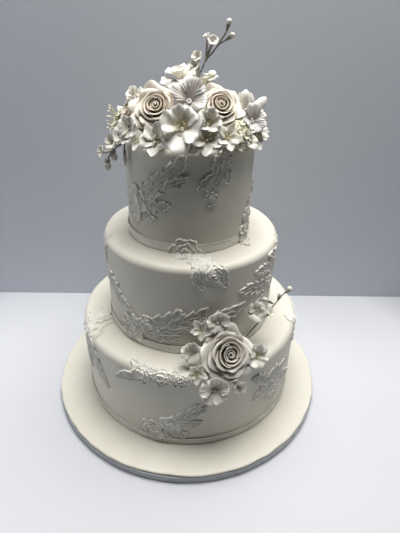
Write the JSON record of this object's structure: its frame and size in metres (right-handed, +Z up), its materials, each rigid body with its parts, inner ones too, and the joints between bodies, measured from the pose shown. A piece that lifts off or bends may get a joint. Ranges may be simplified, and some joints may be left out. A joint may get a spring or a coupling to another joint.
{
  "type": "tiered wedding cake",
  "caption": "Round tiered wedding cake in ivory sugarpaste on an iced board, with lace appliques, satin ribbon and clusters of sugar roses and blossoms.",
  "frame": {"origin": "centre of the board's underside", "axes": "+Z up through the stack, -Y towards the front with the large side rose just right of the middle, +X to the right"},
  "size_m": [0.406, 0.406, 0.5137],
  "materials": {
    "sugarpaste": "ivory rolled icing, matt with a soft sheen",
    "board_card": "foil-covered cake card",
    "board_ribbon": "silver-grey satin ribbon",
    "satin_ribbon": "ivory satin ribbon",
    "sugar_lace": "matt edible lace with raised cord",
    "rose_petals": "pearl-dusted beige sugar petals",
    "pearl_petals": "pearl-dusted ivory sugar petals",
    "filler_flowers": "cream sugar filler flowers with yellow-green centres",
    "sprig": "taped wire stems with ivory sugar buds"
  },
  "bodies": {
    "root": {"board_drum": "board_card", "board_icing": "sugarpaste", "board_ribbon": "board_ribbon", "tier_bottom": "sugarpaste", "tier_middle": "sugarpaste", "tier_top": "sugarpaste", "ribbon_bottom": "satin_ribbon", "ribbon_middle": "satin_ribbon", "ribbon_top": "satin_ribbon", "mound_top": "sugarpaste", "mound_side": "sugarpaste", "lace_top_left": "sugar_lace", "lace_top_right": "sugar_lace", "lace_top_edge": "sugar_lace", "lace_top_back": "sugar_lace", "lace_middle_front": "sugar_lace", "lace_middle_left": "sugar_lace", "lace_middle_low": "sugar_lace", "lace_middle_right": "sugar_lace", "lace_middle_back": "sugar_lace", "lace_bottom_left": "sugar_lace", "lace_bottom_edge": "sugar_lace", "lace_bottom_front": "sugar_lace", "lace_bottom_right": "sugar_lace", "lace_bottom_back": "sugar_lace", "rose_left": "rose_petals", "rose_right": "rose_petals", "rose_side": "rose_petals", "rose_back": "rose_petals", "blossom_middle": "pearl_petals", "blossom_open": "pearl_petals", "blossom_crown": "pearl_petals", "blossom_trumpet": "pearl_petals", "blossom_cup": "pearl_petals", "blossom_petite": "pearl_petals", "blossom_striped": "pearl_petals", "blossom_left": "pearl_petals", "star_left": "pearl_petals", "star_front": "pearl_petals", "star_right": "pearl_petals", "star_edge": "pearl_petals", "filler_right": "filler_flowers", "filler_left": "filler_flowers", "buds_right": "pearl_petals", "blossom_back_left": "pearl_petals", "blossom_back_right": "pearl_petals", "star_back_left": "pearl_petals", "star_back_middle": "pearl_petals", "star_back_right": "pearl_petals", "rose_low": "rose_petals", "star_low_left": "pearl_petals", "blossom_low_back": "pearl_petals", "blossom_low_left": "pearl_petals", "blossom_low_folded": "pearl_petals", "blossom_low_fluted": "pearl_petals", "blossom_low_small": "pearl_petals", "blossom_low_right": "pearl_petals", "sprig_tall": "sprig", "sprig_leaning": "sprig", "sprig_rising": "sprig"}
  },
  "joints": []
}
